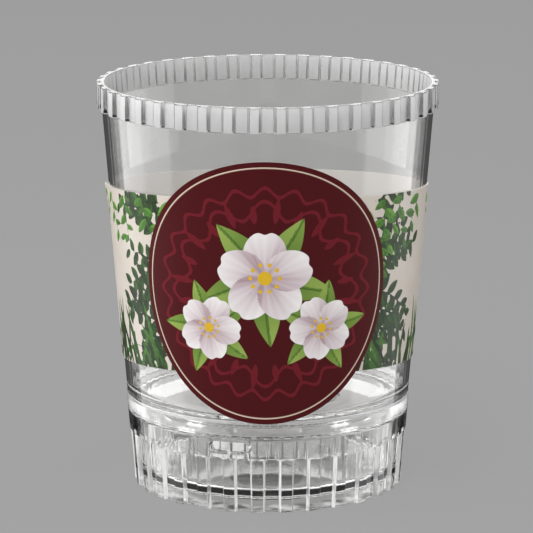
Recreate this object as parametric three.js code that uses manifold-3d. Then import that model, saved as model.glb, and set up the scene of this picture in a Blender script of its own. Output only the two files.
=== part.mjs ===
// Clear orchid pot: a tapered pot with a ribbed rim stands on a ribbed water tray. A slotted drain grid
// lifts out of the pot's floor, and a card wrap and a round label go round the wall.
// Millimetres, +Z up. The origin is the middle of the foot, and the label faces -Y.
import * as THREE from "three";
import { mergeVertices } from "three/addons/utils/BufferGeometryUtils.js";
import Module from "manifold-3d";

const wasm = await Module();
wasm.setup();

// Pot wall and floor
const potHeight = 150;
const rimRadius = 62.5;
const footRadius = 49.6;
const wallThickness = 1.6;
const floorThickness = 4;
const floorFillet = 3;
const collarHeight = 5.1; // thicker foot of the wall, outside the floor
const collarProud = 0.25;
const seatGap = 0.3; // clearance between pieces that meet

// Rim band: raised narrow ribs with wide set-back plates between them
const rimBandHeight = 9.2;
const rimProud = 1.8; // how far the ribs stand out from the wall under them
const rimRibs = 42;
const rimPlateWidth = 4.35;
const rimSetBack = 1.4;
const rimDraft = 22; // degrees, lean of a rib's flanks

// Water tray
const seamHeight = 28.2; // top of the tray, where the pot sits
const trayWall = 4.2;
const trayLip = 0.3; // the smooth band under the seam stands this far out
const smoothBand = 7.7; // height of that band, above the pockets
const trayPlate = 1.6; // thickness of the closed bottom
const footRecess = 5.6; // hollow under the bottom, inside the foot ring
const footRingWidth = 5;

// Upright pockets sunk into the tray's leaning wall, with ribs between them
const pocketCount = 30;
const pocketWidth = 4.9;
const pocketDepth = 1.1; // at the foot, and deeper towards the top, where the wall leans out
const pocketCorner = 1.2; // radius of the top corners
const pocketDraft = 20; // degrees, lean of a pocket's flanks
const pocketTurn = 1.8; // degrees, puts a pocket just right of the front

// Overflow slot in the smooth band, which limits the water level
const overflowWidth = 15;
const overflowHeight = 4.6;
const overflowDrop = 3.8; // seam to the middle of the slot
const overflowTurn = -15.8; // degrees from the front

// Ring under the pot's floor that centres it in the tray
const spigotDepth = 2;
const spigotWall = 1.6;

// Drain grid
const floorOpening = 24; // radius of the hole in the pot's floor
const rebateWidth = 3; // step round that hole, which carries the grid
const rebateDepth = 2;
const gridSheet = 1.8;
const dishDrop = 3; // fall of the dish from its flange to the hub
const hubRadius = 6;
const slotCount = 16;
const slotWidth = 2.2;
const slotMargin = 2.5; // dish left whole inside and outside the ring of slots

// Card wrap: its edges sit in planes that are a little higher at the front
const wrapThickness = 0.4;
const wrapTopMargin = 29; // below the rim band
const wrapBottomMargin = 18.5; // above the seam
const wrapTilt = 5.5; // degrees
const wrapOverlap = 12; // glued lap at the back

// Round label on the front of the wrap
const labelThickness = 0.3;
const labelWidth = 93; // measured round the wall
const labelTopMargin = 10;
const labelBottomMargin = 5.6;
const labelTurn = -1; // degrees from the front

// How finely round forms are divided
const wallSteps = 96;
const stepsPerPocket = 2;
const gridSteps = 64;
const wrapSteps = 120;
const labelRings = 8;
const labelSteps = 48;
const arcSteps = 4;
const cornerSteps = 2;

// Levels and radii that follow from the sizes above
const rimUnderside = potHeight - rimBandHeight;
const potBottom = seamHeight + seatGap;
const floorTop = potBottom + floorThickness;
const trayFloor = footRecess + trayPlate;
const collarTop = potBottom + collarHeight;
const pocketTop = seamHeight - smoothBand;
const pocketRadius = footRadius - pocketDepth;
const rebateRadius = floorOpening + rebateWidth;
const wallSlope = (rimRadius - rimProud - footRadius) / rimUnderside;
const wallLean = Math.atan(wallSlope);
const radians = THREE.MathUtils.degToRad;

function wallRadius(z) {
  return footRadius + wallSlope * z;
}

function wallInner(z) {
  return wallRadius(z) - wallThickness;
}

function trayInner(z) {
  return wallRadius(z) - trayWall;
}

// A point on the wall, raised by an offset. The angle runs from the front towards +X.
function onWall(angle, z, offset) {
  const radius = wallRadius(z) + offset;
  return new THREE.Vector3(radius * Math.sin(angle), -radius * Math.cos(angle), z);
}

function solid(geometry) {
  const loose = geometry.index ? geometry.toNonIndexed() : geometry;
  const bare = new THREE.BufferGeometry().setAttribute("position", loose.getAttribute("position"));
  const merged = mergeVertices(bare, 1e-4);
  const mesh = new wasm.Mesh({
    numProp: 3,
    vertProperties: merged.attributes.position.array,
    triVerts: new Uint32Array(merged.index.array),
  });
  return new wasm.Manifold(mesh);
}

function geometryOf(body) {
  const mesh = body.getMesh();
  const geometry = new THREE.BufferGeometry();
  geometry.setAttribute("position", new THREE.BufferAttribute(mesh.vertProperties, 3));
  geometry.setIndex(new THREE.BufferAttribute(mesh.triVerts, 1));
  geometry.computeVertexNormals();
  return geometry;
}

// A profile of [radius, height] points turned about the Z axis.
function revolve(profile, steps) {
  const points = profile.map(([radius, height]) => new THREE.Vector2(radius, height));
  return solid(new THREE.LatheGeometry(points, steps).rotateX(Math.PI / 2));
}

// Points of a quarter-round fillet in a profile, from one angle to another.
function fillet(centreRadius, centreHeight, size, from, to) {
  return Array.from({ length: arcSteps + 1 }, (_, i) => {
    const angle = THREE.MathUtils.lerp(from, to, i / arcSteps);
    return [centreRadius + size * Math.cos(angle), centreHeight + size * Math.sin(angle)];
  });
}

// A slot outline with round ends, lying along X.
function slotShape(length, width) {
  const end = width / 2;
  const straight = length / 2 - end;
  const shape = new THREE.Shape();
  shape.absarc(straight, 0, end, -Math.PI / 2, Math.PI / 2, false);
  shape.absarc(-straight, 0, end, Math.PI / 2, (3 * Math.PI) / 2, false);
  return shape;
}

// The rim's ring, which steps between wide plates and narrow ribs. The first plate faces the front.
function ribbedRing(hole) {
  const plateRadius = rimRadius - rimSetBack;
  const plate = rimPlateWidth / 2 / plateRadius;
  const flank = plate + (rimSetBack * Math.tan(radians(rimDraft))) / rimRadius;
  const outline = [];
  for (let i = 0; i < rimRibs; i++) {
    const middle = -Math.PI / 2 + (2 * Math.PI * i) / rimRibs;
    const corners = [
      [rimRadius, middle - flank],
      [plateRadius, middle - plate],
      [plateRadius, middle + plate],
      [rimRadius, middle + flank],
    ];
    for (const [r, angle] of corners) {
      outline.push(new THREE.Vector2(r * Math.cos(angle), r * Math.sin(angle)));
    }
  }
  const shape = new THREE.Shape(outline);
  shape.holes.push(new THREE.Path().absarc(0, 0, hole, 0, 2 * Math.PI, true));
  const depth = rimBandHeight;
  return new THREE.ExtrudeGeometry(shape, { depth, bevelEnabled: false, curveSegments: wallSteps });
}

// One pocket as a cutter, with X across it, Y up and Z out of its floor. Its flanks open by the draft.
function pocketCutter() {
  const half = pocketWidth / 2;
  const shoulder = pocketTop - pocketCorner;
  const shape = new THREE.Shape();
  shape.moveTo(-half, -pocketDepth);
  shape.lineTo(half, -pocketDepth);
  shape.absarc(half - pocketCorner, shoulder, pocketCorner, 0, Math.PI / 2, false);
  shape.absarc(pocketCorner - half, shoulder, pocketCorner, Math.PI / 2, Math.PI, false);
  const depth = wallRadius(seamHeight) + trayLip - pocketRadius;
  const cutter = new THREE.ExtrudeGeometry(shape, { depth, bevelEnabled: false, curveSegments: cornerSteps });
  const points = cutter.getAttribute("position");
  const opening = Math.tan(radians(pocketDraft)) / half;
  for (let i = 0; i < points.count; i++) {
    points.setX(i, points.getX(i) * (1 + opening * points.getZ(i)));
  }
  return cutter;
}

// Turns a cutter's Z axis outwards at an angle from the front, and starts it at a radius and a height.
function facingOut(geometry, angle, radius, height) {
  const out = new THREE.Vector3(Math.sin(angle), -Math.cos(angle), 0);
  const up = new THREE.Vector3(0, 0, 1);
  const along = new THREE.Vector3().crossVectors(up, out);
  geometry.applyMatrix4(new THREE.Matrix4().makeBasis(along, up, out));
  return geometry.translate(...out.multiplyScalar(radius).setZ(height));
}

// Moves each point of a flat sheet, at u along, v up and w out from its face, to its place on the wall.
function bendRoundWall(geometry, place) {
  const points = geometry.getAttribute("position");
  const point = new THREE.Vector3();
  for (let i = 0; i < points.count; i++) {
    point.fromBufferAttribute(points, i);
    points.setXYZ(i, ...place(point.x, point.y, point.z));
  }
  return geometry;
}

function makePotBody() {
  const spigot = (z) => trayInner(z) - seatGap;
  const spigotFoot = potBottom - spigotDepth;
  const corner = floorTop + floorFillet;
  const body = revolve(
    [
      [spigot(spigotFoot), spigotFoot],
      [spigot(potBottom), potBottom],
      [wallRadius(potBottom) + collarProud, potBottom],
      [wallRadius(collarTop) + collarProud, collarTop],
      [wallRadius(collarTop + collarProud), collarTop + collarProud],
      [wallRadius(potHeight), potHeight],
      [wallInner(potHeight), potHeight],
      ...fillet(wallInner(corner) - floorFillet, corner, floorFillet, 0, -Math.PI / 2),
      [rebateRadius, floorTop],
      [rebateRadius, floorTop - rebateDepth],
      [floorOpening, floorTop - rebateDepth],
      [floorOpening, potBottom],
      [spigot(potBottom) - spigotWall, potBottom],
      [spigot(spigotFoot) - spigotWall, spigotFoot],
      [spigot(spigotFoot), spigotFoot],
    ],
    wallSteps,
  );
  const insideWall = (wallInner(potHeight) + wallRadius(rimUnderside)) / 2;
  const band = ribbedRing(insideWall).translate(0, 0, rimUnderside);
  return geometryOf(body.add(solid(band)));
}

function makeWaterTray() {
  const lip = (z) => wallRadius(z) + trayLip;
  const innerRadius = trayInner(pocketTop); // upright behind the pockets, as their floors are
  const corner = trayFloor + floorFillet;
  let tray = revolve(
    [
      [0, footRecess],
      [footRadius - footRingWidth, footRecess],
      [footRadius - footRingWidth, 0],
      [footRadius, 0],
      [wallRadius(pocketTop), pocketTop],
      [lip(pocketTop), pocketTop],
      [lip(seamHeight), seamHeight],
      [trayInner(seamHeight), seamHeight],
      [innerRadius, pocketTop],
      ...fillet(innerRadius - floorFillet, corner, floorFillet, 0, -Math.PI / 2),
      [0, trayFloor],
    ],
    pocketCount * stepsPerPocket,
  );
  for (let i = 0; i < pocketCount; i++) {
    const angle = radians(pocketTurn) + (2 * Math.PI * i) / pocketCount;
    tray = tray.subtract(solid(facingOut(pocketCutter(), angle, pocketRadius, 0)));
  }
  const overflow = new THREE.ExtrudeGeometry(slotShape(overflowWidth, overflowHeight), {
    depth: 3 * trayWall,
    bevelEnabled: false,
    curveSegments: arcSteps,
  });
  const level = seamHeight - overflowDrop;
  facingOut(overflow, radians(overflowTurn), wallRadius(level) - 2 * trayWall, level);
  return geometryOf(tray.subtract(solid(overflow)));
}

function makeDrainGrid() {
  const flangeRadius = rebateRadius - seatGap;
  const dishRadius = floorOpening - seatGap;
  const flangeFoot = floorTop - rebateDepth + seatGap;
  const dishLow = floorTop - dishDrop;
  let grid = revolve(
    [
      [0, dishLow - gridSheet],
      [hubRadius, dishLow - gridSheet],
      [dishRadius, flangeFoot],
      [flangeRadius, flangeFoot],
      [flangeRadius, floorTop],
      [dishRadius - gridSheet, floorTop],
      [hubRadius, dishLow],
      [0, dishLow],
    ],
    gridSteps,
  );
  const slotInner = hubRadius + slotMargin;
  const slotOuter = dishRadius - slotMargin;
  for (let i = 0; i < slotCount; i++) {
    const slot = new THREE.ExtrudeGeometry(slotShape(slotOuter - slotInner, slotWidth), {
      depth: dishDrop + 3 * gridSheet,
      bevelEnabled: false,
      curveSegments: arcSteps,
    });
    slot.translate((slotInner + slotOuter) / 2, 0, dishLow - 2 * gridSheet);
    slot.rotateZ((2 * Math.PI * (i + 0.5)) / slotCount);
    grid = grid.subtract(solid(slot));
  }
  return geometryOf(grid);
}

// A strip that goes once round the wall and laps over its own end at the back.
function makeCardWrap() {
  const top = rimUnderside - wrapTopMargin;
  const foot = potBottom + wrapBottomMargin;
  const middle = (top + foot) / 2;
  const lap = wrapOverlap / wallRadius(middle);
  const sweep = 2 * Math.PI + lap;
  const strip = new THREE.BoxGeometry(sweep, top - foot, wrapThickness, wrapSteps, 1, 1);
  bendRoundWall(strip, (u, v, w) => {
    const rise = Math.tan(radians(wrapTilt)) * wallRadius(middle) * Math.cos(u);
    const lift = THREE.MathUtils.smoothstep(u, Math.PI - 2 * lap, Math.PI - lap / 2);
    const inner = seatGap + lift * (wrapThickness + seatGap);
    return onWall(u, middle + v + rise, inner + wrapThickness / 2 + w);
  });
  return geometryOf(solid(strip));
}

// A flat round label, bent round the wall over the wrap.
function makeFrontLabel() {
  const top = rimUnderside - labelTopMargin;
  const foot = potBottom + labelBottomMargin;
  const middle = (top + foot) / 2;
  const reach = (top - foot) / 2 / Math.cos(wallLean);
  const inner = 2 * seatGap + wrapThickness;
  const steps = Array.from({ length: labelRings + 1 }, (_, i) => (reach * i) / labelRings);
  const profile = [
    ...steps.map((radius) => new THREE.Vector2(radius, 0)),
    ...steps.reverse().map((radius) => new THREE.Vector2(radius, labelThickness)),
  ];
  const disc = new THREE.LatheGeometry(profile, labelSteps).rotateX(Math.PI / 2);
  bendRoundWall(disc, (u, v, w) => {
    const angle = radians(labelTurn) + (u * labelWidth) / (2 * reach) / wallRadius(middle);
    return onWall(angle, middle + v * Math.cos(wallLean), inner + w);
  });
  return geometryOf(solid(disc));
}

const clearPlastic = { color: "#e6e8e6", roughness: 0.05, metalness: 0, transparent: true, opacity: 0.35 };
const pieces = [
  ["pot_body", makePotBody(), clearPlastic],
  ["water_tray", makeWaterTray(), clearPlastic],
  ["drain_grid", makeDrainGrid(), clearPlastic],
  ["card_wrap", makeCardWrap(), { color: "#d7cdc3", roughness: 0.35, metalness: 0 }],
  ["front_label", makeFrontLabel(), { color: "#4b161c", roughness: 0.3, metalness: 0 }],
];

const orchidPot = new THREE.Group();
for (const [name, geometry, look] of pieces) {
  const mesh = new THREE.Mesh(geometry, new THREE.MeshStandardMaterial(look));
  mesh.name = name;
  orchidPot.add(mesh);
}

export default orchidPot;
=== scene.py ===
import math
from functools import partial

import bmesh
import bpy
import numpy as np
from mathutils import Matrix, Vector


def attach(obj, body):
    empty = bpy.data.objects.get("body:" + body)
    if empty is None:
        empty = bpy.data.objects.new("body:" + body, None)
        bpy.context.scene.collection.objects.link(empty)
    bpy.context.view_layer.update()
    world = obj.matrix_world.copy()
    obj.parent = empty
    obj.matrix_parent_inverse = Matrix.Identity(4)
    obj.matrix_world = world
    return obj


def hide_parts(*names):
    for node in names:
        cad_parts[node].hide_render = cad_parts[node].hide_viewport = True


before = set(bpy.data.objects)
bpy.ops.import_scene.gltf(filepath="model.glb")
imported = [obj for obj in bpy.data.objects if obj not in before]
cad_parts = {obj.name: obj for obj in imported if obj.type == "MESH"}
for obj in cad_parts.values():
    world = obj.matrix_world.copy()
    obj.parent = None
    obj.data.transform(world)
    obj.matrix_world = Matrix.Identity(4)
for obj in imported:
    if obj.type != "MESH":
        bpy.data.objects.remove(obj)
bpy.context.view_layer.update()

mm = 0.001
print("frame loaded:", ", ".join(sorted(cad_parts)))

# sizes that several pieces share, in mm
pot = {
    "height": 150.0, "rimRadius": 62.5, "rimBand": 9.2, "rimProud": 1.8, "footRadius": 49.6, "seam": 28.2,
    "wall": 1.6, "trayWall": 4.2, "gap": 0.3,
    "floor": 4.0, "floorOpening": 24.0, "rebateWidth": 3.0, "rebateDepth": 2.0,
}
# roundings of the moulded edges, in mm
rounding = {
    "tight": 0.2, "fine": 0.3, "edge": 0.4, "lip": 0.5, "soft": 1.0, "recess": 1.5, "tray": 3.0, "bowl": 8.0,
}
rimUnderside = pot["height"] - pot["rimBand"]
potBottom = pot["seam"] + pot["gap"]
floorTop = potBottom + pot["floor"]
wallSlope = (pot["rimRadius"] - pot["rimProud"] - pot["footRadius"]) / rimUnderside
wallLean = math.atan(wallSlope)
sharpAngle = math.radians(32)


def wallRadius(z):  # straight taper from the foot to the underside of the rim
    return pot["footRadius"] + wallSlope * z


def onWall(angle, z, offset):  # points on the cone, pushed out by offset; the angle runs from the front to +X
    r = wallRadius(z) + offset
    return np.stack([r * np.sin(angle), -r * np.cos(angle), z + 0 * r], axis=-1)


# profile corners (radius, height, rounding, flute weight) become rows, with a circular arc at each corner
# that has more steps the wider it is
def roundedProfile(corners, closed, arcSteps=4):
    corners = np.array(corners, float)
    rows = []
    for i, (r, z, size, weight) in enumerate(corners):
        here = np.array([r, z])
        if size == 0 or (not closed and i in (0, len(corners) - 1)):
            rows.append([r, z, weight])
            continue
        before = corners[i - 1, :2] - here
        after = corners[(i + 1) % len(corners), :2] - here
        lengths = np.linalg.norm(before), np.linalg.norm(after)
        before, after = before / lengths[0], after / lengths[1]
        half = math.acos(np.clip(before @ after, -1, 1)) / 2
        reach = min(size / math.tan(half), 0.48 * min(lengths))  # an arc takes less than half of either side
        radius = reach * math.tan(half)
        middle = before + after
        centre = here + middle / np.linalg.norm(middle) * radius / math.sin(half)
        start, end = here + before * reach - centre, here + after * reach - centre
        turn = math.pi - 2 * half
        for t in np.linspace(0, 1, arcSteps + round(size)):
            a, b = math.sin((1 - t) * turn), math.sin(t * turn)
            rows.append([*(centre + (a * start + b * end) / math.sin(turn)), weight])
    return np.array(rows)


# plan of a fluted band, one row per height: flat pockets between narrow flat ribs. Half a pitch runs from the
# middle of a pocket along its floor, up a drafted riser and over the rib's face. Both corners are eased by
# P = (1-t)^2 A + 2t(1-t) B + t^2 C, and the other half is the mirror image
def flutePlan(band, outer, pocket, floorHalf, easeSteps=6):
    beta, draft = math.pi / band["pairs"], math.radians(band["draft"])
    out = np.array([math.sin(beta), math.cos(beta)])
    up = np.array([math.sin(draft), math.cos(draft)])
    across = np.array([1.0, 0.0])
    corner = np.stack([floorHalf, pocket], axis=-1)
    climb = ((outer - corner @ out) / (up @ out))[:, None]
    edge, middle = corner + climb * up, outer[:, None] * out
    ribHalf = np.linalg.norm(middle - edge, axis=1, keepdims=True)
    over = (middle - edge) / ribHalf
    low = np.minimum(band["easeIn"], 0.45 * climb)  # an easing takes less than half of the riser or the face
    high = np.minimum(np.minimum(band["easeOut"], 0.45 * climb), 0.45 * ribHalf)
    t = np.linspace(0, 1, easeSteps)[None, :, None]
    ease = lambda a, b, c: (1 - t) ** 2 * a[:, None] + 2 * t * (1 - t) * b[:, None] + t ** 2 * c[:, None]
    half = np.concatenate([
        (corner * [0.0, 1.0])[:, None],
        (corner * [0.6, 1.0])[:, None],
        ease(corner - low * across, corner, corner + low * up),
        ease(edge - high * up, edge, edge + high * over),
        middle[:, None],
    ], axis=1)
    angle, radius = np.arctan2(half[..., 0], half[..., 1]), np.hypot(half[..., 0], half[..., 1])
    angle = np.concatenate([-angle[:, :0:-1], angle[:, :-1]], axis=1)
    radius = np.concatenate([radius[:, :0:-1], radius[:, :-1]], axis=1)
    centres = math.radians(band["turn"]) + 2 * beta * np.arange(band["pairs"])
    angles = (centres[None, :, None] + angle[:, None, :]).reshape(len(outer), -1)
    return angles, np.tile(radius, band["pairs"])


# quads of a rows by columns grid, with either way joined up
def gridFaces(rows, columns, joinRows, joinColumns):
    down, along = np.arange(rows - (not joinRows)), np.arange(columns - (not joinColumns))
    i, j = np.meshgrid(down, along, indexing="ij")
    below, right = (i + 1) % rows, (j + 1) % columns
    quads = [i * columns + j, i * columns + right, below * columns + right, below * columns + j]
    return np.stack([q.ravel() for q in quads], axis=-1)


# a mesh object in mm points; faces are turned to face out by the sign of the enclosed volume
def meshObject(name, points, faces, fields=None):
    points = np.asarray(points, float).reshape(-1, 3) * mm
    a, b, c, d = (points[faces[:, k]] for k in range(4))
    volume = np.einsum("ij,ij->", a, np.cross(b, c)) + np.einsum("ij,ij->", a, np.cross(c, d))
    if volume < 0:
        faces = faces[:, ::-1]
    mesh = bpy.data.meshes.new(name)
    mesh.vertices.add(len(points))
    mesh.vertices.foreach_set("co", points.astype(np.float32).ravel())
    mesh.loops.add(faces.size)
    mesh.loops.foreach_set("vertex_index", faces.astype(np.int32).ravel())
    mesh.polygons.add(len(faces))
    mesh.polygons.foreach_set("loop_start", np.arange(0, faces.size, 4, dtype=np.int32))
    for key, values in (fields or {}).items():
        layer = mesh.attributes.new(key, "FLOAT", "POINT")
        layer.data.foreach_set("value", np.asarray(values, np.float32).ravel())
    mesh.update(calc_edges=True)
    mesh.validate()
    smooth(mesh)
    return placed(name, mesh)


def smooth(mesh):  # smooth shading that stops at the moulded edges
    mesh.shade_smooth()
    mesh.set_sharp_from_angle(angle=sharpAngle)


def placed(name, data):
    made = bpy.data.objects.new(name, data)
    bpy.context.scene.collection.objects.link(made)
    return made


# joins points that lie on each other, such as the rows that end on the axis
def mergePoles(made):
    work = bmesh.new()
    work.from_mesh(made.data)
    bmesh.ops.remove_doubles(work, verts=work.verts, dist=1e-7)
    bmesh.ops.dissolve_degenerate(work, edges=work.edges, dist=1e-8)
    work.to_mesh(made.data)
    work.free()
    smooth(made.data)


# a profile turned about Z; rows of weight 1 take the radius of the fluted plan, the others stay round
def turned(name, profile, angles, closed, plan=None):
    r = np.repeat(profile[:, 0, None], angles.shape[1], axis=1)
    if plan is not None:
        r = np.where(profile[:, 2, None] > 0, plan, r)
    z = np.repeat(profile[:, 1, None], angles.shape[1], axis=1)
    points = np.stack([r * np.sin(angles), -r * np.cos(angles), z], axis=-1)
    made = meshObject(name, points, gridFaces(*r.shape, closed, True))
    if not closed:
        mergePoles(made)
    return made


# normals weighted by face area: flat and straight faces stay true and only the roundings bend the light
def trueFaces(made):
    step = made.modifiers.new("true faces", "WEIGHTED_NORMAL")
    step.mode, step.weight, step.keep_sharp = "FACE_AREA", 100, True


# cuts one closed mesh out of another and throws the cutter away
def cutAway(made, cutter):
    step = made.modifiers.new("cut", "BOOLEAN")
    step.operation, step.solver, step.object = "DIFFERENCE", "EXACT", cutter
    seen = made.evaluated_get(bpy.context.evaluated_depsgraph_get())
    mesh = bpy.data.meshes.new_from_object(seen)
    made.modifiers.clear()
    made.data = mesh
    smooth(mesh)
    bpy.data.objects.remove(cutter)


# straight prism with a slot outline: a ring of points round two half circles, carried along one way
def slotPrism(length, width, depth, steps=10):
    turn = np.linspace(-math.pi / 2, math.pi / 2, steps)
    end = np.stack([length / 2 - width / 2 + width / 2 * np.cos(turn), width / 2 * np.sin(turn)], axis=-1)
    ring = np.concatenate([end, -end])
    low = np.column_stack([ring, np.full(len(ring), -depth / 2)])
    high = np.column_stack([ring, np.full(len(ring), depth / 2)])
    return np.concatenate([low, high]), len(ring)


def prismsObject(name, blocks):  # blocks: list of (points, ring size), closed by one face at each end
    points, faces, base = [], [], 0
    for block, ring in blocks:
        k = np.arange(ring)
        sides = np.column_stack([k, (k + 1) % ring, (k + 1) % ring + ring, k + ring]) + base
        faces += sides.tolist() + [(k[::-1] + base).tolist(), (k + ring + base).tolist()]
        points.append(block)
        base += 2 * ring
    mesh = bpy.data.meshes.new(name)
    mesh.from_pydata((np.concatenate(points) * mm).tolist(), [], faces)
    return placed(name, mesh)


def spin(points, degrees):  # turns points about Z
    c, s = math.cos(math.radians(degrees)), math.sin(math.radians(degrees))
    return points @ np.array([[c, s, 0], [-s, c, 0], [0, 0, 1]])


def linear(hexColour):  # sRGB hex to linear rgba
    parts = [int(hexColour[k:k + 2], 16) / 255 for k in (1, 3, 5)]
    return [*(p / 12.92 if p <= 0.04045 else ((p + 0.055) / 1.055) ** 2.4 for p in parts), 1.0]


# a node with its settings and links; a node given as an input means its first output, stops fill a ramp
def addNode(tree, kind, inputs=None, stops=(), **settings):
    made = tree.nodes.new("ShaderNode" + kind)
    for key, value in settings.items():
        setattr(made, key, value)
    if stops:
        band = made.color_ramp.elements
        while len(band) < len(stops):
            band.new(0.5)
        for element, (at, colour) in zip(band, stops):
            element.position, element.color = at, colour
    for key, value in (inputs or {}).items():
        if isinstance(value, bpy.types.Node):
            value = value.outputs[0]
        if isinstance(value, bpy.types.NodeSocket):
            tree.links.new(value, made.inputs[key])
        else:
            made.inputs[key].default_value = value
    return made


def nodeAdder(tree):  # addNode for one emptied tree
    tree.nodes.clear()
    return partial(addNode, tree)


def newMaterial(name):  # a material, the adder of its nodes, and its Object coordinates
    made = bpy.data.materials.new(name)
    made.use_nodes = True
    add = nodeAdder(made.node_tree)
    return made, add, add("TexCoord").outputs["Object"]


def span(ends, side="From"):  # the two ends that a MapRange node maps from or to
    return {side + " Min": ends[0], side + " Max": ends[1]}


def setMaterials(made, *materials):
    made.data.materials.clear()
    for material in materials:
        made.data.materials.append(material)


# fine relief of a real size and depth in mm: gives its noise and the normal that it bumps
def relief(add, place, size, depth, strength, detail):
    grain = add("TexNoise", {"Vector": place, "Scale": 1 / (size * mm), "Detail": detail})
    return grain, add("Bump", {"Height": grain, "Distance": depth * mm, "Strength": strength})


def uneven(add, grain, roughness, spread):  # roughness that follows the grain
    return add("MapRange", {"Value": grain, "To Min": roughness - spread, "To Max": roughness + spread})


# crystal polystyrene, injection moulded in a polished tool: water clear with sharp highlights and a slight
# unevenness from the flow of the melt
clearLook = {
    "tint": "#fcfcfb", "ior": 1.59, "polish": 0.012, "scuff": 0.05,
    "scuffSize": 6.0,  # mm
    "scuffRange": (0.45, 0.8),  # noise between a polished and a scuffed place
    "flowSize": 24.0,  # mm between the waves of the moulded wall
    "flowDepth": 0.005,  # mm
}
# its satin faces: colours at a low and a high level in mm, a painted shade that is darker low down and
# lighter at the top, and how clear the faces stay in patches of a size in mm
rimLook = {
    "colours": ("#c2c2c2", "#dddddd"), "shadeHeights": (rimUnderside, pot["height"]), "roughness": 0.3,
    "clear": (0.05, 0.15), "patch": 3.0, "stretch": 1.0, "grain": 0.4, "depth": 0.01,
}
sideLook = {
    "colours": ("#f8f8f7", "#ffffff"), "shadeHeights": (0.0, 20.0), "roughness": 0.2,
    "clear": (0.0, 0.7), "patch": 2.6, "stretch": 6.0, "grain": 0.4, "depth": 0.01,
}
floorLook = {
    "colours": ("#f8f8f7", "#ffffff"), "shadeHeights": (0.0, 20.0), "roughness": 0.1,
    "clear": (0.36, 0.4), "patch": 8.0, "stretch": 1.0, "grain": 0.4, "depth": 0.002,
}
patchRange = (0.42, 0.6)  # noise between a dull and a clear patch
# the gate disc: a spark eroded grain, and a dark grey colour that is painted shade
gateShadeLook = {"colour": "#3c3a39", "roughness": 0.6, "spread": 0.1, "clear": 0.1, "grain": 0.8, "depth": 0.02}


def clearPlastic():
    made, add, place = newMaterial("crystal_polystyrene_moulded")
    bump = relief(add, place, clearLook["flowSize"], clearLook["flowDepth"], 1.0, 1.0)[1]
    scuff = add("TexNoise", {"Vector": place, "Scale": 1 / (clearLook["scuffSize"] * mm), "Detail": 5.0})
    rough = add("MapRange", {
        "Value": scuff, **span(clearLook["scuffRange"]),
        "To Min": clearLook["polish"], "To Max": clearLook["scuff"]})
    solid = add("BsdfPrincipled", {
        "Base Color": linear(clearLook["tint"]), "Roughness": rough, "IOR": clearLook["ior"],
        "Transmission Weight": 1.0, "Normal": bump})
    shadow = add("LightPath").outputs["Is Shadow Ray"]
    both = add("MixShader", {0: shadow, 1: solid, 2: add("BsdfTransparent")})
    add("OutputMaterial", {"Surface": both})
    return made


def satinPlastic(name, look):
    # the same plastic where the tool is satin blasted: faces that look white, clear in patches, with a
    # painted shade that makes them darker towards the bottom
    made, add, place = newMaterial(name)
    height = add("SeparateXYZ", {0: place}).outputs["Z"]
    low, high = look["shadeHeights"]
    # painted shade: the colour runs from the darker tone low down to the lighter one at the top
    level = add("MapRange", {"Value": height, "From Min": low * mm, "From Max": high * mm})
    colour = add("ValToRGB", {"Fac": level}, [(k, linear(tone)) for k, tone in enumerate(look["colours"])])
    bump = relief(add, place, look["grain"], look["depth"], 0.5, 2.0)[1]
    drawn = add("Mapping", {"Vector": place, "Scale": (1, 1, 1 / look["stretch"])})
    patch = add("TexNoise", {"Vector": drawn, "Scale": 1 / (look["patch"] * mm), "Detail": 2.0})
    clear = add("MapRange", {"Value": patch, **span(patchRange), **span(look["clear"], "To")})
    dull = add("BsdfPrincipled", {
        "Base Color": colour, "Roughness": look["roughness"], "IOR": clearLook["ior"],
        "Transmission Weight": clear, "Normal": bump})
    add("OutputMaterial", {"Surface": dull})
    return made


def gateShadePlastic():
    # the same plastic where the tool is spark eroded round the gate: a dull grey disc seen through the floor,
    # whose dark grey colour is painted shade
    made, add, place = newMaterial("crystal_polystyrene_spark_eroded_painted_shade")
    grain, bump = relief(add, place, gateShadeLook["grain"], gateShadeLook["depth"], 0.6, 3.0)
    dull = add("BsdfPrincipled", {
        "Base Color": linear(gateShadeLook["colour"]), "IOR": clearLook["ior"],
        "Roughness": uneven(add, grain, gateShadeLook["roughness"], gateShadeLook["spread"]),
        "Transmission Weight": gateShadeLook["clear"], "Normal": bump})
    add("OutputMaterial", {"Surface": dull})
    return made


plastic = clearPlastic()
rimSatin = satinPlastic("crystal_polystyrene_satin_moulded", rimLook)
sideSatin = satinPlastic("crystal_polystyrene_satin_rib_sides", sideLook)
floorSatin = satinPlastic("crystal_polystyrene_satin_underside", floorLook)
gate = gateShadePlastic()

# pot body: closed profile turned about Z, with the fluted band at the rim. Satin lies on the rim's plates and
# underside and under the floor
rim = {
    "pairs": 42, "turn": 0.0, "floorWidth": 4.35, "depth": 1.4, "draft": 22.0, "easeIn": 0.2, "easeOut": 0.4,
    "edge": 0.35, "lipFlat": 0.6, "satinFrom": 0.4,
}
collar = {"height": 5.1, "proud": 0.25, "edge": 0.25}
spigot = {"depth": 2.0, "wall": 1.6}


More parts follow.
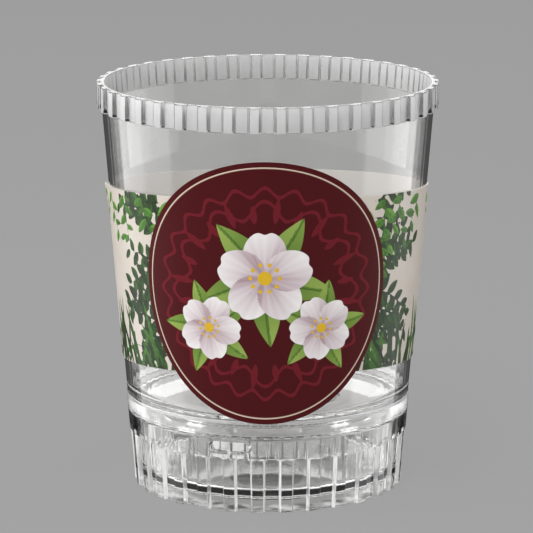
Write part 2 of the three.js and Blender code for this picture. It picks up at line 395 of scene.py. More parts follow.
def makePotBody():
    wall, top = pot["wall"], pot["height"]
    opening, rebate = pot["floorOpening"], pot["floorOpening"] + pot["rebateWidth"]
    ledge = floorTop - pot["rebateDepth"]
    foot, collarTop = potBottom - spigot["depth"], potBottom + collar["height"]
    tight, fine, edge = rounding["tight"], rounding["fine"], rounding["edge"]
    ring = lambda z: wallRadius(z) - pot["trayWall"] - pot["gap"]
    corners = [
        (ring(foot) - spigot["wall"], foot, fine, 0),
        (ring(foot), foot, fine, 0),
        (ring(potBottom), potBottom, tight, 0),
        (wallRadius(potBottom) + collar["proud"], potBottom, collar["edge"], 0),
        (wallRadius(collarTop) + collar["proud"], collarTop, collar["edge"], 0),
        (wallRadius(collarTop), collarTop + collar["proud"], tight, 0),
        (wallRadius(rimUnderside), rimUnderside, fine, 0),
        (pot["rimRadius"], rimUnderside, rim["edge"], 1),
        (pot["rimRadius"], top, rim["edge"], 1),
        (wallRadius(top) - wall + rim["lipFlat"], top, 0, 0),
        (wallRadius(top) - wall, top, rim["edge"], 0),
        (wallRadius(rimUnderside) - wall, rimUnderside + rim["satinFrom"], 0, 0),
        (wallRadius(floorTop) - wall, floorTop, rounding["bowl"], 0),
        (rebate, floorTop, edge, 0),
        (rebate, ledge, tight, 0),
        (opening, ledge, edge, 0),
        (opening, potBottom, edge, 0),
        (ring(potBottom) - spigot["wall"], potBottom, fine, 0),
    ]
    profile = roundedProfile(corners, closed=True)
    outer = np.where(profile[:, 2] > 0, profile[:, 0], pot["rimRadius"])
    angles, plan = flutePlan(rim, outer, outer - rim["depth"], np.full(len(outer), rim["floorWidth"] / 2))
    made = turned("pot_body_clear", profile, angles, True, plan)
    setMaterials(made, plastic, rimSatin, floorSatin)

    after = np.roll(profile, -1, axis=0)
    level, reach = np.maximum(profile[:, 1], after[:, 1]), np.maximum(profile[:, 0], after[:, 0])
    tall = np.abs(profile[:, 1] - after[:, 1]) > pot["rimBand"] / 2
    face = tall & (np.minimum(profile[:, 1], after[:, 1]) > rimUnderside)
    low = np.abs(level - rimUnderside) < 1.1 * rim["edge"]
    below = low & (reach > wallRadius(rimUnderside) + rim["edge"])
    under = np.isclose(level, potBottom) & (reach < ring(potBottom))
    columns = angles.shape[1]
    pitch = columns // rim["pairs"]
    half = pitch // 2
    flats = [pitch - 1, 0, *range(half - 2, half + 2)]  # rib faces and pocket floors
    flat = np.isin(np.arange(columns) % pitch, flats)
    index = (face[:, None] & flat[None, :]) | below[:, None]
    index = np.where(under[:, None], 2, index)
    made.data.polygons.foreach_set("material_index", index.astype(np.int32).ravel())
    trueFaces(made)
    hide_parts("pot_body")
    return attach(made, "pot")


makePotBody()
print("pot body made")

# water tray: profile from the axis and back to it. Pockets with round top corners are sunk into the leaning
# wall below the smooth band and follow its taper. The overflow slot is cut out, and the rib sides are satin
tray = {
    "lip": 0.3, "lipStep": 0.05, "smooth": 7.7, "plate": 1.6, "recess": 5.6, "ringWidth": 5.0, "skirt": 2.2,
    "gate": 3.0,
    "pairs": 30, "turn": 1.8, "floorWidth": 4.9, "depth": 1.7, "corner": 1.2, "cornerSteps": 8,
    "draft": 26.0, "easeIn": 0.15, "easeOut": 0.25,
    "sideTurn": 0.6,  # least share of a rib side's normal that points round the axis
}
overflow = {"width": 15.0, "height": 4.6, "drop": 3.8, "turn": -15.8}
trayFloor = tray["recess"] + tray["plate"]


def makeWaterTray():
    seam, inner = pot["seam"], pot["footRadius"] - tray["ringWidth"]
    top = seam - tray["smooth"]
    lip = lambda z: wallRadius(z) + tray["lip"]
    hollow = lambda z: wallRadius(z) - pot["trayWall"]
    rise = top - tray["corner"] * (1 - np.sin(np.linspace(0, math.pi / 2, tray["cornerSteps"])))
    corners = [
        (0, tray["recess"], 0, 0),
        (tray["gate"], tray["recess"], 0, 0),
        (inner, tray["recess"], rounding["recess"], 0),
        (inner, 0, rounding["edge"], 0),
        (pot["footRadius"] - tray["skirt"], 0, 0, 0),
        (pot["footRadius"], 0, rounding["edge"], 1),
        *((wallRadius(z), z, 0, 1) for z in rise),
        (lip(top), top + tray["lipStep"], rounding["fine"], 0),
        (lip(seam), seam, rounding["lip"], 0),
        (hollow(seam), seam, rounding["lip"], 0),
        (hollow(trayFloor), trayFloor, rounding["tray"], 0),
        (0, trayFloor, 0, 0),
    ]
    profile = roundedProfile(corners, closed=False)
    z = np.clip(profile[:, 1], 0, top)
    outer = np.where(profile[:, 2] > 0, profile[:, 0], wallRadius(z))
    over = np.clip(z - top + tray["corner"], 0, tray["corner"])
    floorHalf = tray["floorWidth"] / 2 - tray["corner"] + np.sqrt(tray["corner"] ** 2 - over ** 2)
    angles, plan = flutePlan(tray, outer, outer - tray["depth"], floorHalf)
    made = turned("water_tray_clear", profile, angles, False, plan)

    block, ring = slotPrism(overflow["width"], overflow["height"], 4 * pot["trayWall"])
    level = seam - overflow["drop"]
    out = wallRadius(level) - pot["trayWall"] / 2
    block = np.column_stack([block[:, 0], -block[:, 2] - out, block[:, 1] + level])
    cutAway(made, prismsObject("overflow_cutter", [(spin(block, overflow["turn"]), ring)]))
    setMaterials(made, plastic, gate, sideSatin)

    centre, normal = np.empty((2, len(made.data.polygons), 3))
    made.data.polygons.foreach_get("center", centre.ravel())
    made.data.polygons.foreach_get("normal", normal.ravel())
    x, y, z = centre.T / mm
    r = np.hypot(x, y)
    # the gate disc under the plate takes the dark grey of painted shade
    disc = (np.abs(z - tray["recess"]) < pot["gap"]) & (r < tray["gate"])
    across = np.abs(normal[:, 1] * x - normal[:, 0] * y) / np.maximum(r, 1e-3)  # share round the axis
    side = (across > tray["sideTurn"]) & (r > pot["footRadius"] - 2 * tray["depth"]) & (z < top)
    made.data.polygons.foreach_set("material_index", (disc + 2 * side).astype(np.int32))
    trueFaces(made)
    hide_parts("water_tray")
    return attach(made, "tray")


makeWaterTray()
print("water tray made")

# drain grid: a shallow dish turned about Z, with a ring of radial slots
grid = {
    "sheet": 1.8, "drop": 3.0, "hub": 6.0, "columns": 240, "slots": 16, "slotWidth": 2.2, "slotMargin": 2.5,
}


def makeDrainGrid():
    sheet, hub = grid["sheet"], grid["hub"]
    flange = pot["floorOpening"] + pot["rebateWidth"] - pot["gap"]
    dish = pot["floorOpening"] - pot["gap"]
    flangeFoot, low = floorTop - pot["rebateDepth"] + pot["gap"], floorTop - grid["drop"]
    fine, soft = rounding["fine"], rounding["soft"]
    corners = [
        (0, low - sheet, 0, 0),
        (hub, low - sheet, soft, 0),
        (dish, flangeFoot, fine, 0),
        (flange, flangeFoot, fine, 0),
        (flange, floorTop, rounding["edge"], 0),
        (dish - sheet, floorTop, soft, 0),
        (hub, low, soft, 0),
        (0, low, 0, 0),
    ]
    profile = roundedProfile(corners, closed=False)
    angles = np.tile(np.arange(grid["columns"]) * 2 * math.pi / grid["columns"], (len(profile), 1))
    made = turned("drain_grid_clear", profile, angles, False)
    near, far = hub + grid["slotMargin"], dish - grid["slotMargin"]
    blocks = []
    for k in range(grid["slots"]):
        block, ring = slotPrism(far - near, grid["slotWidth"], floorTop)
        block = block + [(near + far) / 2, 0, floorTop]
        blocks.append((spin(block, 360 * (k + 0.5) / grid["slots"]), ring))
    cutAway(made, prismsObject("slot_cutters", blocks))
    setMaterials(made, plastic)
    trueFaces(made)
    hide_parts("drain_grid")
    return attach(made, "grid")


makeDrainGrid()
print("drain grid made")

# print: each shape is a distance field in mm, and a tone field gives its colour
ink = {"blank": 9.0, "fringe": 0.9, "soft": 0.06}


# distance in mm to a pointed leaf, negative inside; its half width goes by sin(pi t^0.85)^0.9 from the stalk
def leafDistance(p, q, start, heading, length, half, bend=0.0):
    x = (p - start[0]) * math.cos(heading) + (q - start[1]) * math.sin(heading)
    y = (q - start[1]) * math.cos(heading) - (p - start[0]) * math.sin(heading)
    t = np.clip(x / length, 0, 1)
    y = y - bend * t * t * length
    side = np.abs(y) - half * np.sin(math.pi * t ** 0.85) ** 0.9
    beyond = np.maximum(-x, x - length)
    return np.maximum(side, beyond), t, y / half


# paints one shape over a layer, or over its columns near the shape: distance keeps the least, tone takes the
# shape that was painted last
def paint(layer, distance, tone, near=slice(None)):
    before = layer["distance"][near]
    inside = (distance < 0) | ((distance < ink["fringe"]) & (distance < before))
    layer["tone"][near] = np.where(inside, tone, layer["tone"][near])
    layer["distance"][near] = np.minimum(before, distance)


def newLayer(like):
    return {"distance": np.full(like.shape, ink["blank"]), "tone": np.zeros(like.shape)}


def maskOf(add, field):  # 1 inside a drawn shape, 0 outside, from its distance field
    seen = add("Attribute", attribute_name=field).outputs["Fac"]
    return add("MapRange", {"Value": seen, "From Min": ink["soft"], "From Max": -ink["soft"]})


def inked(add, under, over, mask):  # one printed colour over another
    return add("Mix", {0: mask, 6: under, 7: over}, data_type="RGBA").outputs[2]


def toned(add, field, colours):  # three colours along a tone field
    seen = add("Attribute", attribute_name=field).outputs["Fac"]
    return add("ValToRGB", {"Fac": seen}, [(k / 2, linear(tone)) for k, tone in enumerate(colours)])


# card wrap: a strip bent round the cone; along is the angle, up the height, with tilted edges and a lap
wrap = {
    "gap": 0.12, "thickness": 0.25, "topMargin": 29.0, "bottomMargin": 18.5, "tilt": 5.5, "overlap": 12.0,
    "columns": 520, "rows": 88, "crease": 0.35, "creaseWidth": 1.2,
    "cornerLift": 0.8, "cornerReach": 7.0, "cornerBreadth": 4.0,
}
twig = {"margin": 12.0, "stem": 0.32, "bare": 3.0, "shrink": 0.35, "spread": (0.7, 1.1), "bend": 0.1}
sprigs = {
    "spacing": 13.0, "first": 4.0, "shift": 3.0, "above": 1.0, "length": (20, 34), "leaf": (6.0, 8.5),
    "half": (1.4, 2.0), "every": 3.6, "sway": 0.25, "curl": 0.02, "tone": (0.1, 0.9), "seed": 11,
}
blades = {
    "spacing": 1.7, "shift": 1.0, "under": 2.0, "length": (12, 30), "half": (0.7, 1.25),
    "sway": 0.28, "bend": 0.18, "seed": 5,
}
boughs = {
    "from": 38.0, "low": -34.0, "high": 30.0, "rows": 11, "shift": 2.0, "length": (17, 27),
    "leaf": (6.5, 9.5), "half": (1.7, 2.5), "every": 2.6,
    "sway": (-0.15, 0.3), "curl": (-0.01, 0.015), "tone": (0.0, 0.6), "seed": 23,
}
wrapLook = {
    "ground": "#d8d2ca", "shade": "#c9bdb0", "back": "#e4dfdb", "cloud": 14.0,
    "sprig": ("#2f5219", "#4d8029", "#86b84c"), "blade": ("#0f1b0a", "#234016", "#4c7d2b"),
    "fibre": 1.2, "fibreDepth": 0.01, "roughness": 0.42, "spread": 0.06, "sheen": 0.15,
    "coat": 0.15, "coatRoughness": 0.08,
}


# one leafy twig: a thin stem and pointed leaves at both sides by turns, on the columns of the sheet near it
def paintTwig(layer, p, q, foot, heading, length, curl, kind, tone, rng):
    near = np.abs(p[:, 0] - foot[0]) < length + twig["margin"]
    stem, _, _ = leafDistance(p[near], q[near], foot, heading, length, twig["stem"], curl * length / 2)
    paint(layer, stem, 0.1, near)
    for k, along in enumerate(np.arange(twig["bare"], length, kind["every"])):
        side = 1 if k % 2 else -1
        aim = heading + curl * along / 2
        base = foot + along * np.array([math.cos(aim), math.sin(aim)])
        size = 1 - twig["shrink"] * along / length
        lean = heading + curl * along + side * rng.uniform(*twig["spread"])
        long, wide = size * rng.uniform(*kind["leaf"]), size * rng.uniform(*kind["half"])
        d, _, y = leafDistance(p[near], q[near], base, lean, long, wide, twig["bend"] * side)
        # one half lit, a dark rib
        shade = tone * 0.5 + rng.uniform(0, 0.35) + 0.2 * (y * side > 0) - 0.3 * (np.abs(y) < 0.14)
        paint(layer, d, np.clip(shade, 0, 1), near)


def wrapPrint(p, q, height):
    leaves, grass = newLayer(p), newLayer(p)
    low, high = p.min(), p.max()
    rng = np.random.default_rng(boughs["seed"])
    for side in (-1, 1):  # twigs that grow out from under the label at both sides
        for level in np.linspace(boughs["low"], boughs["high"], boughs["rows"]):
            foot = np.array([side * boughs["from"], level + rng.uniform(-boughs["shift"], boughs["shift"])])
            heading = math.pi / 2 - side * (math.pi / 2 + rng.normal(*boughs["sway"]))
            length, curl = rng.uniform(*boughs["length"]), side * rng.normal(*boughs["curl"])
            paintTwig(grass, p, q, foot, heading, length, curl, boughs, rng.uniform(*boughs["tone"]), rng)
    rng = np.random.default_rng(blades["seed"])
    for at in np.arange(low, high, blades["spacing"]):
        start = (at + rng.uniform(-blades["shift"], blades["shift"]), -height / 2 - blades["under"])
        length, half = rng.uniform(*blades["length"]), rng.uniform(*blades["half"])
        heading, bend = math.pi / 2 + rng.normal(0, blades["sway"]), rng.normal(0, blades["bend"])
        tone = rng.uniform(0, 1)
        near = np.abs(p[:, 0] - start[0]) < length
        d, t, y = leafDistance(p[near], q[near], start, heading, length, half, bend)
        shade = tone * 0.7 + 0.35 * t - 0.15 * (np.abs(y) < 0.2)  # pale tip, dark rib
        paint(grass, d, np.clip(shade, 0, 1), near)
    rng = np.random.default_rng(sprigs["seed"])
    for at in np.arange(low + sprigs["first"], high, sprigs["spacing"]):
        foot = np.array([at + rng.uniform(-sprigs["shift"], sprigs["shift"]), height / 2 + sprigs["above"]])
        heading, length = -math.pi / 2 + rng.normal(0, sprigs["sway"]), rng.uniform(*sprigs["length"])
        curl = rng.normal(0, sprigs["curl"])
        paintTwig(leaves, p, q, foot, heading, length, curl, sprigs, rng.uniform(*sprigs["tone"]), rng)
    return leaves, grass


def cardMaterial():
    # coated folding-box card, offset printed: a soft gloss over crisp ink, white uncoated back
    made, add, place = newMaterial("coated_card_offset_printed")
    cloud = add("TexNoise", {"Vector": place, "Scale": 1 / (wrapLook["cloud"] * mm), "Detail": 3.0})
    colour = inked(add, linear(wrapLook["ground"]), linear(wrapLook["shade"]), cloud)
    colour = inked(add, colour, toned(add, "grassTone", wrapLook["blade"]), maskOf(add, "grassDistance"))
    colour = inked(add, colour, toned(add, "leafTone", wrapLook["sprig"]), maskOf(add, "leafDistance"))
    front = add("Attribute", attribute_name="printed").outputs["Fac"]
    colour = inked(add, linear(wrapLook["back"]), colour, front)
    fibre, bump = relief(add, place, wrapLook["fibre"], wrapLook["fibreDepth"], 0.6, 4.0)
    card = add("BsdfPrincipled", {
        "Base Color": colour, "Roughness": uneven(add, fibre, wrapLook["roughness"], wrapLook["spread"]),
        "Normal": bump, "Specular IOR Level": wrapLook["sheen"],
        "Coat Weight": wrapLook["coat"], "Coat Roughness": wrapLook["coatRoughness"]})
    add("OutputMaterial", {"Surface": card})
    return made


def makeCardWrap():
    top, foot = rimUnderside - wrap["topMargin"], potBottom + wrap["bottomMargin"]
    middle, height = (top + foot) / 2, top - foot
    radius, thick, gap = wallRadius(middle), wrap["thickness"], wrap["gap"]
    lap = wrap["overlap"] / radius
    angle = np.linspace(-math.pi - lap / 2, math.pi + lap / 2, wrap["columns"])[:, None]
    up = np.linspace(-height / 2, height / 2, wrap["rows"])[None, :]
    rise = math.tan(math.radians(wrap["tilt"])) * radius * np.cos(angle)
    t = np.clip((angle - math.pi + 2 * lap) / (1.5 * lap), 0, 1)
    lift = gap + (t * t * (3 - 2 * t)) * (thick + gap)  # the end climbs smoothly over the start
    fold = np.exp(-((np.abs(angle) - math.pi / 2) * radius / wrap["creaseWidth"]) ** 2)  # side folds
    corner = np.exp(-((angle + math.pi / 2) * radius / wrap["cornerBreadth"]) ** 2)
    corner = corner * np.exp(-((height / 2 - up) / wrap["cornerReach"]) ** 2)
    lift = lift + wrap["crease"] * fold + wrap["cornerLift"] * corner
    z = middle + up + rise
    outer, inner = onWall(angle + 0 * z, z, lift + thick), onWall(angle + 0 * z, z, lift)
    loop = np.concatenate([outer, inner[:, ::-1]], axis=1)  # up the outside and down the inside
    n, m = loop.shape[:2]
    sides = gridFaces(n, m, False, True)
    k = np.arange(wrap["rows"] - 1)
    cap = np.column_stack([k, k + 1, m - 2 - k, m - 1 - k])
    faces = np.concatenate([sides, cap[:, ::-1], cap + (n - 1) * m])
    leaves, grass = wrapPrint(angle * radius + 0 * z, up + 0 * z, height)
    both = lambda field: np.concatenate([field, field[:, ::-1]], axis=1)
    printed = np.concatenate([np.ones(z.shape), np.zeros(z.shape)], axis=1)
    made = meshObject("card_wrap_printed", loop, faces, {
        "leafDistance": both(leaves["distance"]), "leafTone": both(leaves["tone"]),
        "grassDistance": both(grass["distance"]), "grassTone": both(grass["tone"]), "printed": printed})
    setMaterials(made, cardMaterial())
    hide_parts("card_wrap")
    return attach(made, "pot")


makeCardWrap()
print("card wrap made")

# front label: rings of points from the middle to the edge and back behind, bent round the cone over the wrap
label = {
    "thickness": 0.3, "width": 93.0, "topMargin": 10.0, "bottomMargin": 5.6, "turn": -1.0, "rings": 98,
    "columns": 432, "ringInset": 2.2, "ringLine": 0.27,
}
# lobed rings of a radius in mm, lobes and swing in mm, with drops between them
ornament = {
    "rings": ((31.0, 12, 3.2), (37.5, 24, 1.6)), "steep": 0.8, "half": 0.55,
    "drops": 24, "dropFrom": 26.0, "dropLong": (7.0, 10.0), "dropHalf": 1.2,
}
# place and radius in mm, turn in degrees
blossoms = [(0.0, 6.0, 17.0, 90.0), (-20.5, -13.0, 12.0, 66.0), (20.5, -13.0, 12.0, 114.0)]
# counts, and shares of a blossom's radius
blossom = {
    "petals": 5, "petalOut": 0.52, "petalLong": 0.5, "petalHalf": 0.44,
    "notch": 0.06, "notchHalf": 0.1, "notchFrom": 0.5, "hub": 0.15, "dots": 10, "dotOut": 0.3, "dot": 0.045,
    "leafLong": 1.5, "leafHalf": 0.3, "leafBend": 0.08,
}
labelLook = {
    "ground": "#4a1216", "ornament": "#6b1c25", "line": "#e6d3bf", "leaf": ("#2f4a1f", "#5f7f35", "#9db35c"),
    "petal": ("#a98f97", "#d8cdd0", "#efebea"), "centre": "#d9b12e", "back": "#eeebe5",
    "grain": 0.5, "depth": 0.008, "roughness": 0.5, "spread": 0.08, "sheen": 0.1,
}


def labelPrint(p, q, edge):
    petals, leaves, centre, lines = (newLayer(p) for _ in range(4))
    reach, turn = np.hypot(p, q), np.arctan2(q, p)
    for radius, lobes, swing in ornament["rings"]:
        wave = np.abs(reach - radius - swing * np.cos(lobes * turn))
        paint(lines, wave * ornament["steep"] - ornament["half"], 0.5)
    for k in range(ornament["drops"]):
        heading = 2 * math.pi * (k + 0.5) / ornament["drops"]
        start = (ornament["dropFrom"] * math.cos(heading), ornament["dropFrom"] * math.sin(heading))
        d, _, _ = leafDistance(p, q, start, heading, ornament["dropLong"][k % 2], ornament["dropHalf"])
        paint(lines, d, 0.5)
    step = 360 / blossom["petals"]
    for x, y, size, facing in blossoms:
        long, wide = blossom["leafLong"] * size, blossom["leafHalf"] * size
        for k in range(blossom["petals"]):  # leaves fan out behind each blossom
            heading = math.radians(facing + step * (k + 0.5))
            d, t, v = leafDistance(p, q, (x, y), heading, long, wide, blossom["leafBend"])
            paint(leaves, d, np.clip(0.35 + 0.4 * t + 0.2 * (v > 0) - 0.35 * (np.abs(v) < 0.1), 0, 1))
    for x, y, size, facing in reversed(blossoms):
        long, wide = blossom["petalLong"] * size, blossom["petalHalf"] * size
        for k in range(blossom["petals"]):  # each petal is an ellipse with a notch at its tip
            heading = math.radians(facing + step * k)
            u = (p - x) * math.cos(heading) + (q - y) * math.sin(heading)
            v = (q - y) * math.cos(heading) - (p - x) * math.sin(heading)
            notch = blossom["notch"] * size * np.exp(-(v / (blossom["notchHalf"] * size)) ** 2)
            notch = notch * (u > blossom["notchFrom"] * size)
            d = (np.hypot((u - blossom["petalOut"] * size) / long, v / wide) - 1) * wide * 0.9 + notch
            fan = np.arctan2(v, np.maximum(u, 0.01))
            veins = 0.05 * np.cos(27 * fan) + 0.1 * np.cos(7 * fan + 1.3 * k)  # fine veins, broad folds
            paint(petals, d, np.clip(0.05 + 0.85 * u / size + veins + 0.22 * v / wide, 0, 1))
        paint(centre, np.hypot(p - x, q - y) - blossom["hub"] * size, 0.5)
        for k in range(blossom["dots"]):
            heading, out = math.radians(facing + 360 * (k + 0.5) / blossom["dots"]), blossom["dotOut"] * size
            dot = np.hypot(p - x - out * math.cos(heading), q - y - out * math.sin(heading))
            paint(centre, dot - blossom["dot"] * size, 0.5)
    return {
        "petalDistance": petals["distance"], "petalTone": petals["tone"],
        "leafDistance": leaves["distance"], "leafTone": leaves["tone"],
        "centreDistance": centre["distance"], "ornamentDistance": lines["distance"],
        "lineDistance": np.abs(edge - label["ringInset"]) - label["ringLine"],
    }


def labelMaterial():
    # coated label paper, litho printed and varnished: deep even colour with a soft sheen and a fine grain
    made, add, place = newMaterial("label_paper_varnished_print")
    colour = linear(labelLook["ground"])
    for field, over in (
            ("ornament", linear(labelLook["ornament"])),
            ("leaf", toned(add, "leafTone", labelLook["leaf"])),
            ("petal", toned(add, "petalTone", labelLook["petal"])),
            ("centre", linear(labelLook["centre"])),
            ("line", linear(labelLook["line"]))):
        colour = inked(add, colour, over, maskOf(add, field + "Distance"))
    front = add("Attribute", attribute_name="printed").outputs["Fac"]
    colour = inked(add, linear(labelLook["back"]), colour, front)
    grain, bump = relief(add, place, labelLook["grain"], labelLook["depth"], 0.6, 2.0)
    paper = add("BsdfPrincipled", {
        "Base Color": colour, "Roughness": uneven(add, grain, labelLook["roughness"], labelLook["spread"]),
        "Normal": bump, "Specular IOR Level": labelLook["sheen"]})
    add("OutputMaterial", {"Surface": paper})
    return made


def makeFrontLabel():
    top, foot = rimUnderside - label["topMargin"], potBottom + label["bottomMargin"]
    middle, half = (top + foot) / 2, (top - foot) / 2 / math.cos(wallLean)
    inner = 2 * wrap["gap"] + wrap["thickness"]
    share = np.linspace(0, 1, label["rings"])
    share = np.concatenate([share, share[::-1]])[:, None]
    raised = np.concatenate([np.full(label["rings"], label["thickness"]), np.zeros(label["rings"])])[:, None]
    turn = (np.arange(label["columns"]) * 2 * math.pi / label["columns"])[None, :]
    p, q = share * label["width"] / 2 * np.cos(turn), share * half * np.sin(turn)
    angle = math.radians(label["turn"]) + p / wallRadius(middle)
    points = onWall(angle, middle + q * math.cos(wallLean), inner + raised)
    fields = labelPrint(p, q, (1 - share) * half + 0 * p)
    fields["printed"] = (raised > 0) * np.ones(p.shape)
    made = meshObject("front_label_printed", points, gridFaces(*p.shape, False, True), fields)
    mergePoles(made)
    setMaterials(made, labelMaterial())
    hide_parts("front_label")
    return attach(made, "pot")


makeFrontLabel()
print("front label made")

# studio: pale floor, soft boxes at both sides, a soft key and top light. What the plastic reflects is the
# studio's surround, which goes on below the horizon: pale front, two strengths of soft box at each side, then
# the dark room
studio = {
    "backdrop": "#a0a0a0", "floorPaint": "#d0d0d0", "floorGrey": "#9d9d9d", "plain": 0.93, "floorSize": 8.0,
    "world": 0.6,
    # m from the pot where the table under it goes over to plain floor, mm that its middle lies to the front
    "table": (0.13, 0.2), "shift": 9.0,
    # the table as seen through the plastic, a painted shade: share of white by mm from the middle of an oval,
    # dark under the gate and with less light under the tray than beyond the foot
    "shade": ((13.5, 0.01), (14.5, 0.28), (43.0, 0.28), (47.0, 0.6)), "shadeSqueeze": 0.7, "shadeCentre": 3.0,
    # painted spots of light, standing for light that the ribs throw on it: mm, noise range, least and most,
    # share by mm from the middle
    "glint": 9.0, "glintRange": (0.4, 0.6), "glints": (0.3, 2.2),
    "glintRing": ((33, 0), (38, 1), (47, 1), (52, 0)),
    # m to the rear where a painted shade makes the table darker, and the share of light there
    "behind": (0.014, 0.02), "behindShare": 0.25,
    # m from the pot within which reflected rays see the table dark by a painted shade, and how far to the
    # rear it starts
    "dark": (0.1, 0.12), "darkFrom": 0.03,
    # degrees from the front, radiance from there on, and degrees over which it changes
    "surround": ((0, 0.55), (73, 1.35), (99, 1.8), (128, 0.3), (136, 0.08)), "soft": 1.5,
    # above the band of slopes where the walls mirror, the levels draw together: slopes, middle, share kept
    "calm": (-0.05, -0.02), "even": 0.75, "kept": 0.4,
    "overhead": 1.0, "overheadFrom": (0.6, 0.75),
    # straight to the rear: degrees from the front, levels below and above an edge, its elevation
    "rear": (164.0, 170.0), "rearLevels": (2.0, 0.25), "rearEdge": (15.45, 15.55),
    "boxTurn": 100, "boxDistance": 1.6, "boxWidth": 1.6, "boxHeight": 2.0, "boxPower": 20.0, "boxTilt": 0.3,
    "keyPower": 16.0, "keySize": 0.9, "keyPlace": (-0.5, -1.2, 1.3), "keyAim": (0, 0, 0.08),
    "topPower": 9.0, "topSize": 0.9, "topPlace": (0, -0.35, 1.4), "topAim": (0, 0, 0.1),
}


def areaLight(name, place, aim, width, height, power):
    data = bpy.data.lights.new(name, "AREA")
    data.shape, data.size, data.size_y, data.energy = "RECTANGLE", width, height, power
    made = placed(name, data)
    made.location = place
    made.rotation_euler = (Vector(aim) - Vector(place)).to_track_quat("-Z", "Y").to_euler()
    made.visible_camera = made.visible_transmission = made.visible_glossy = False


# 1 for rays from the camera or through clear plastic, for the latter alone, and for rays that were reflected
def sight(add):
    path = add("LightPath").outputs
    bounced = add("Math", {0: path["Glossy Depth"], 1: 1.0}, operation="MINIMUM")
    through = add("Math", {0: path["Is Transmission Ray"], 1: bounced}, operation="SUBTRACT", use_clamp=True)
    direct = add("Math", {0: path["Is Camera Ray"], 1: through}, operation="ADD", use_clamp=True)
    return direct, through, bounced


def greys(stops, whole):  # ramp stops from pairs of place and level; a ramp holds levels above 1 too
    return [(at / whole, (level, level, level, 1.0)) for at, level in stops]


# radiance by the angle from the front with a plain light overhead, how far to the rear a way points, its rise
def surroundLevel(add, way):
    part = add("SeparateXYZ", {0: way}).outputs
    aside = add("Math", {0: part["X"]}, operation="ABSOLUTE")
    ahead = add("Math", {0: part["Y"], 1: -1.0}, operation="MULTIPLY")
    turn = add("Math", {0: aside, 1: ahead}, operation="ARCTAN2")
    turn = add("Math", {0: turn, 1: math.pi}, operation="DIVIDE")
    stops = [studio["surround"][0]]
    for (_, before), (start, level) in zip(studio["surround"], studio["surround"][1:]):
        stops += [(start - studio["soft"], before), (start + studio["soft"], level)]
    level = add("ValToRGB", {"Fac": turn}, greys(stops, 180))
    calm = add("MapRange", {"Value": part["Z"], **span(studio["calm"])})
    base = studio["even"] * (1 - studio["kept"])
    drawn = add("MapRange", {"Value": level, "To Min": base, "To Max": base + studio["kept"]}, clamp=False)
    level = add("MapRange", {"Value": calm, "To Min": level, "To Max": drawn})
    high = add("MapRange", {"Value": part["Z"], **span(studio["overheadFrom"])})
    level = add("MapRange", {"Value": high, "To Min": level, "To Max": studio["overhead"]})
    rear = add("MapRange", {"Value": turn, **span([angle / 180 for angle in studio["rear"]])})
    return level, add("Math", {0: rear, 1: calm}, operation="MULTIPLY"), part["Z"]


def makeWorld():
    world = bpy.data.worlds.new("studio")
    bpy.context.scene.world = world
    world.use_nodes = True
    add = nodeAdder(world.node_tree)
    direct, _, bounced = sight(add)
    plain = linear(studio["backdrop"])[0]
    around, rear, rise = surroundLevel(add, add("TexCoord").outputs["Generated"])
    edge = [math.sin(math.radians(angle)) for angle in studio["rearEdge"]]
    up = add("MapRange", {"Value": rise, **span(edge)})
    end = add("MapRange", {"Value": up, **span(studio["rearLevels"], "To")})
    mirrored = add("MapRange", {"Value": rear, "To Min": around, "To Max": end})
    level = add("MapRange", {"Value": direct, "To Min": plain * studio["world"], "To Max": plain})
    level = add("MapRange", {"Value": bounced, "To Min": level, "To Max": mirrored})
    sky = add("Background", {"Color": (1, 1, 1, 1), "Strength": level})
    add("OutputWorld", {"Surface": sky})


# the table through the plastic, all painted light and shade: a dark oval of painted shade under the gate,
# painted spots of light under the foot, painted shade behind
def tableShade(add, place, depth):
    squeeze = studio["shadeSqueeze"]
    whole = 100  # mm along each ramp
    oval = add("VectorMath", {0: place, 1: (1.0, squeeze, 1.0)}, operation="MULTIPLY")
    centre = (0.0, -studio["shadeCentre"] * squeeze * mm, 0.0)
    reach = add("VectorMath", {0: oval, 1: centre}, operation="DISTANCE").outputs["Value"]
    reach = add("Math", {0: reach, 1: whole * mm}, operation="DIVIDE")
    # painted shade: a dark oval under the gate, less light under the tray
    shade = add("ValToRGB", {"Fac": reach}, greys(studio["shade"], whole))
    # painted light: spots in a ring under the foot
    spots = add("TexNoise", {"Vector": place, "Scale": 1 / (studio["glint"] * mm), "Detail": 1.0})
    glint = add("MapRange", {"Value": spots, **span(studio["glintRange"]), **span(studio["glints"], "To")})
    out = add("VectorMath", {0: place}, operation="LENGTH").outputs["Value"]
    out = add("Math", {0: out, 1: whole * mm}, operation="DIVIDE")
    ring = add("ValToRGB", {"Fac": out}, greys(studio["glintRing"], whole))
    glint = add("MapRange", {"Value": ring, "To Min": 1.0, "To Max": glint})
    shade = add("Math", {0: shade, 1: glint}, operation="MULTIPLY")
    # painted shade on the table behind the pot
    back = add("MapRange", {
        "Value": depth, **span(studio["behind"]), "To Min": 1.0, "To Max": studio["behindShare"]})
    return add("Math", {0: shade, 1: back}, operation="MULTIPLY")


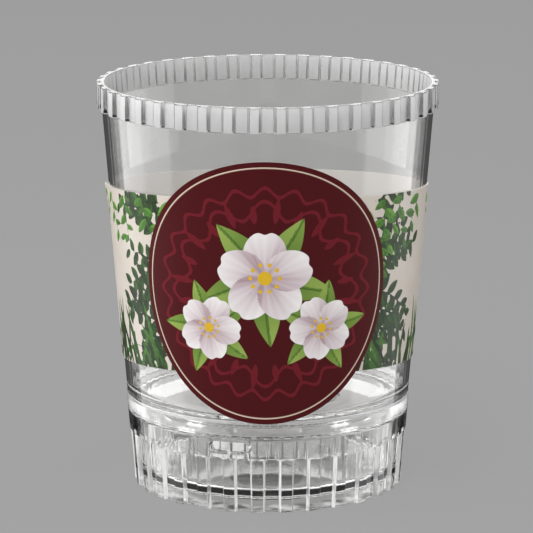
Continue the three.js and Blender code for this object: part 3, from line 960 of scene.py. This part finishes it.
def floorPaint():
    # matt studio paint: an even pale grey with a soft shadow. Near the pot, rays through the plastic see
    # painted light and shade, and reflected rays pass it to see the surround, behind the pot through a
    # painted shade
    made, add, place = newMaterial("floor_paint_matt")
    direct, through, bounced = sight(add)
    depth = add("SeparateXYZ", {0: place}).outputs["Y"]
    middle = (0.0, -studio["shift"] * mm, 0.0)
    away = add("VectorMath", {0: place, 1: middle}, operation="DISTANCE").outputs["Value"]
    matt = add("BsdfDiffuse", {"Color": linear(studio["floorPaint"])})
    glow = add("Emission", {"Color": linear(studio["floorGrey"]), "Strength": 1.0})
    share = add("Math", {0: direct, 1: studio["plain"]}, operation="MULTIPLY")
    seen = add("MixShader", {0: share, 1: matt, 2: glow})
    near = add("MapRange", {"Value": away, **span(studio["table"]), "To Min": 1.0, "To Max": 0.0})
    near = add("Math", {0: through, 1: near}, operation="MULTIPLY")
    lit = add("Emission", {"Color": tableShade(add, place, depth), "Strength": 1.0})
    seen = add("MixShader", {0: near, 1: seen, 2: lit})
    # painted shade for reflected rays close behind the pot
    close = add("MapRange", {"Value": away, **span(studio["dark"]), "To Min": 1.0, "To Max": 0.0})
    rear = add("Math", {0: depth, 1: studio["darkFrom"]}, operation="GREATER_THAN")
    dim = add("Math", {0: close, 1: rear}, operation="MULTIPLY")
    left = add("MapRange", {"Value": dim, "To Min": 1.0, "To Max": 0.0})
    seen = add("MixShader", {0: bounced, 1: seen, 2: add("BsdfTransparent", {"Color": left})})
    add("OutputMaterial", {"Surface": seen})
    made.cycles.emission_sampling = "NONE"
    return made


def makeStudio():
    makeWorld()
    half = studio["floorSize"] / 2
    mesh = bpy.data.meshes.new("floor")
    corners = [(-half, -half, 0), (half, -half, 0), (half, half, 0), (-half, half, 0)]
    mesh.from_pydata(corners, [], [(0, 1, 2, 3)])
    floor = placed("floor", mesh)
    setMaterials(floor, floorPaint())

    away, high, turn = studio["boxDistance"], studio["boxHeight"] / 2, math.radians(studio["boxTurn"])
    for side in (-1, 1):
        place = (side * away * math.sin(turn), -away * math.cos(turn), high)
        power = studio["boxPower"] * (1 - side * studio["boxTilt"])
        areaLight("side_box", place, (0, 0, high), studio["boxWidth"], studio["boxHeight"], power)
    for name in ("key", "top"):
        size, power = studio[name + "Size"], studio[name + "Power"]
        areaLight(name + "_box", studio[name + "Place"], studio[name + "Aim"], size, size, power)


makeStudio()
print("studio made")

# camera fitted to the rim, seam and foot ellipses of the photograph: m, degrees, and pixels of its frame
view = {
    "distance": 1.2044, "height": 0.3442, "pitch": 12.589, "sensor": 36.0,
    "focal": 3333.3, "frame": 533, "axisX": 267.8, "axisY": 279.75,
}


def makeCamera():
    data = bpy.data.cameras.new("photo_camera")
    data.sensor_width = view["sensor"]
    data.lens = data.sensor_width * view["focal"] / view["frame"]
    data.shift_x = (view["frame"] / 2 - view["axisX"]) / view["frame"]
    data.shift_y = (view["axisY"] - view["frame"] / 2) / view["frame"]
    made = placed("photo_camera", data)
    made.location = (0, -view["distance"], view["height"])
    made.rotation_euler = (math.radians(90 - view["pitch"]), 0, 0)
    bpy.context.scene.camera = made


makeCamera()
bpy.context.scene.view_settings.view_transform = "Standard"
